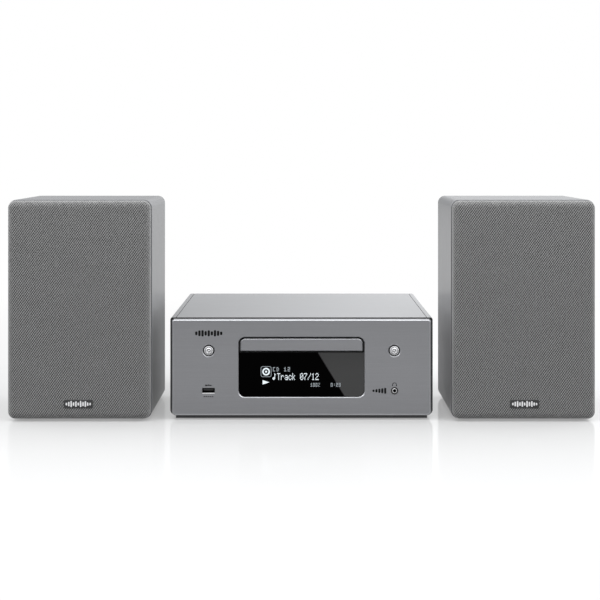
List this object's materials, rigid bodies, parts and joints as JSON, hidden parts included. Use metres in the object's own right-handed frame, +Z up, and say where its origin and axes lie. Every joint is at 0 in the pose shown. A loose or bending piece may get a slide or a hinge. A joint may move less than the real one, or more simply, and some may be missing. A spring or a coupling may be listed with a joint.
{
  "type": "mini hifi system",
  "caption": "Compact silver-grey mini hifi: a receiver with a disc drawer and dark display window between bookshelf speakers with grey cloth grilles.",
  "frame": {"origin": "on the floor, under the middle of the whole set's bounding box", "axes": "+X to the right seen from the front, +Y to the back, +Z up; the fronts face -Y"},
  "size_m": [0.6228, 0.316, 0.2338],
  "materials": {
    "silver_paint": "satin grey-silver paint with a fine metallic speckle",
    "zinc_sheet": "zinc-plated steel sheet",
    "black_plastic": "black moulded plastic, fine matt texture",
    "black_glass": "deep black gloss lens",
    "circuit_green": "green solder mask",
    "dark_steel": "dark grey powder coat",
    "rubber_black": "matt black rubber",
    "bright_metal": "polished bright metal",
    "white_gear": "natural white acetal",
    "cap_red": "red moulded plastic",
    "cap_black": "black moulded plastic",
    "speaker_board": "satin grey-silver laminate, slightly warm",
    "grille_cloth": "grey acoustic cloth, fine twill weave",
    "badge_metal": "dark plate with bright raised bars",
    "cone_paper": "coated paper cone"
  },
  "bodies": {
    "main_unit": {"front_panel": "silver_paint", "window_frame": "black_plastic", "display_glass": "black_glass", "display_board": "circuit_green", "side_cheek_left": "silver_paint", "side_cheek_right": "silver_paint", "top_plate": "silver_paint", "chassis_base": "zinc_sheet", "rear_panel": "dark_steel", "unit_feet": "rubber_black", "case_screws": "dark_steel", "usb_port": "bright_metal", "headphone_jack": "black_plastic", "main_board": "circuit_green", "power_supply": "zinc_sheet", "rear_sockets": "black_plastic", "terminal_block": "black_plastic", "loader_frame": "black_plastic"},
    "drawer": {"disc_tray": "black_plastic", "drawer_front": "silver_paint"},
    "loading_pinion": {"loading_gear": "white_gear"},
    "power_key": {"power_button": "bright_metal"},
    "eject_key": {"eject_button": "bright_metal"},
    "disc_deck": {"traverse": "black_plastic"},
    "spindle_table": {"turntable": "black_plastic"},
    "pickup_sled": {"pickup": "black_plastic"},
    "sled_pinion": {"sled_gear": "white_gear"},
    "clamp_puck": {"disc_clamp": "black_plastic"},
    "unit_cap_left_red_body": {"unit_cap_left_red": "cap_red"},
    "unit_cap_left_black_body": {"unit_cap_left_black": "cap_black"},
    "unit_cap_right_red_body": {"unit_cap_right_red": "cap_red"},
    "unit_cap_right_black_body": {"unit_cap_right_black": "cap_black"},
    "left_speaker": {"left_cabinet": "speaker_board", "left_baffle": "speaker_board", "left_woofer_basket": "dark_steel", "left_woofer_surround": "rubber_black", "left_tweeter": "black_plastic", "left_port_tube": "black_plastic", "left_terminal_cup": "black_plastic", "left_feet": "rubber_black"},
    "left_grille": {"left_grille_frame": "black_plastic", "left_grille_cloth": "grille_cloth", "left_badge": "badge_metal"},
    "left_cone": {"left_woofer_cone": "cone_paper"},
    "left_cap_red_body": {"left_cap_red": "cap_red"},
    "left_cap_black_body": {"left_cap_black": "cap_black"},
    "right_speaker": {"right_cabinet": "speaker_board", "right_baffle": "speaker_board", "right_woofer_basket": "dark_steel", "right_woofer_surround": "rubber_black", "right_tweeter": "black_plastic", "right_port_tube": "black_plastic", "right_terminal_cup": "black_plastic", "right_feet": "rubber_black"},
    "right_grille": {"right_grille_frame": "black_plastic", "right_grille_cloth": "grille_cloth", "right_badge": "badge_metal"},
    "right_cone": {"right_woofer_cone": "cone_paper"},
    "right_cap_red_body": {"right_cap_red": "cap_red"},
    "right_cap_black_body": {"right_cap_black": "cap_black"}
  },
  "joints": [
    {"name": "drawer_slide", "type": "slide", "parent": "main_unit", "child": "drawer", "axis": [0, -1, 0], "range_m": [0, 0.128]},
    {"name": "loading_gear_spin", "type": "hinge", "parent": "main_unit", "child": "loading_pinion", "pos_m": [-0.045, -0.13, 0.074], "axis": [0, 0, 1], "range_deg": [0, 815.37]},
    {"name": "power_press", "type": "slide", "parent": "main_unit", "child": "power_key", "axis": [0, 1, 0], "range_m": [0, 0.0012], "stiffness_N_per_m": 400, "springref_m": -0.0008},
    {"name": "eject_press", "type": "slide", "parent": "main_unit", "child": "eject_key", "axis": [0, 1, 0], "range_m": [0, 0.0012], "stiffness_N_per_m": 400, "springref_m": -0.0008},
    {"name": "traverse_tilt", "type": "hinge", "parent": "main_unit", "child": "disc_deck", "pos_m": [0, 0.001, 0.0635], "axis": [1, 0, 0], "range_deg": [0, 4.2]},
    {"name": "turntable_spin", "type": "hinge", "parent": "disc_deck", "child": "spindle_table", "pos_m": [0, -0.0795, 0.078], "axis": [0, 0, 1], "continuous": true},
    {"name": "pickup_slide", "type": "slide", "parent": "disc_deck", "child": "pickup_sled", "axis": [0, 1, 0], "range_m": [0, 0.034]},
    {"name": "sled_gear_spin", "type": "hinge", "parent": "disc_deck", "child": "sled_pinion", "pos_m": [-0.023, -0.0385, 0.068], "axis": [0, 0, 1], "range_deg": [0, 325.18]},
    {"name": "clamp_spin", "type": "hinge", "parent": "main_unit", "child": "clamp_puck", "pos_m": [0, -0.0795, 0.086], "axis": [0, 0, 1], "continuous": true},
    {"name": "unit_cap_left_red_turn", "type": "hinge", "parent": "main_unit", "child": "unit_cap_left_red_body", "pos_m": [-0.0885, 0.148, 0.078], "axis": [0, 1, 0], "range_deg": [0, 720]},
    {"name": "unit_cap_left_black_turn", "type": "hinge", "parent": "main_unit", "child": "unit_cap_left_black_body", "pos_m": [-0.0695, 0.148, 0.078], "axis": [0, 1, 0], "range_deg": [0, 720]},
    {"name": "unit_cap_right_red_turn", "type": "hinge", "parent": "main_unit", "child": "unit_cap_right_red_body", "pos_m": [-0.0505, 0.148, 0.078], "axis": [0, 1, 0], "range_deg": [0, 720]},
    {"name": "unit_cap_right_black_turn", "type": "hinge", "parent": "main_unit", "child": "unit_cap_right_black_body", "pos_m": [-0.0315, 0.148, 0.078], "axis": [0, 1, 0], "range_deg": [0, 720]},
    {"name": "left_speaker_place", "type": "slide", "parent": "main_unit", "child": "left_speaker", "axis": [-1, 0, 0], "range_m": [0, 0.15]},
    {"name": "left_grille_pull", "type": "slide", "parent": "left_speaker", "child": "left_grille", "axis": [0, -1, 0], "range_m": [0, 0.06]},
    {"name": "left_cone_stroke", "type": "slide", "parent": "left_speaker", "child": "left_cone", "axis": [0, -1, 0], "range_m": [-0.003, 0.003], "stiffness_N_per_m": 900, "deforming": ["left_woofer_surround"]},
    {"name": "left_cap_red_turn", "type": "hinge", "parent": "left_speaker", "child": "left_cap_red_body", "pos_m": [-0.2447, 0.006, 0.062], "axis": [0, 1, 0], "range_deg": [0, 720]},
    {"name": "left_cap_black_turn", "type": "hinge", "parent": "left_speaker", "child": "left_cap_black_body", "pos_m": [-0.2257, 0.006, 0.062], "axis": [0, 1, 0], "range_deg": [0, 720]},
    {"name": "right_speaker_place", "type": "slide", "parent": "main_unit", "child": "right_speaker", "axis": [1, 0, 0], "range_m": [0, 0.15]},
    {"name": "right_grille_pull", "type": "slide", "parent": "right_speaker", "child": "right_grille", "axis": [0, -1, 0], "range_m": [0, 0.06]},
    {"name": "right_cone_stroke", "type": "slide", "parent": "right_speaker", "child": "right_cone", "axis": [0, -1, 0], "range_m": [-0.003, 0.003], "stiffness_N_per_m": 900, "deforming": ["right_woofer_surround"]},
    {"name": "right_cap_red_turn", "type": "hinge", "parent": "right_speaker", "child": "right_cap_red_body", "pos_m": [0.2257, 0.006, 0.062], "axis": [0, 1, 0], "range_deg": [0, 720]},
    {"name": "right_cap_black_turn", "type": "hinge", "parent": "right_speaker", "child": "right_cap_black_body", "pos_m": [0.2447, 0.006, 0.062], "axis": [0, 1, 0], "range_deg": [0, 720]}
  ],
  "couplings": [
    {"joint": "loading_gear_spin", "follows": "drawer_slide", "rad_per_m": 111.11},
    {"joint": "sled_gear_spin", "follows": "pickup_slide", "rad_per_m": 166.67}
  ]
}
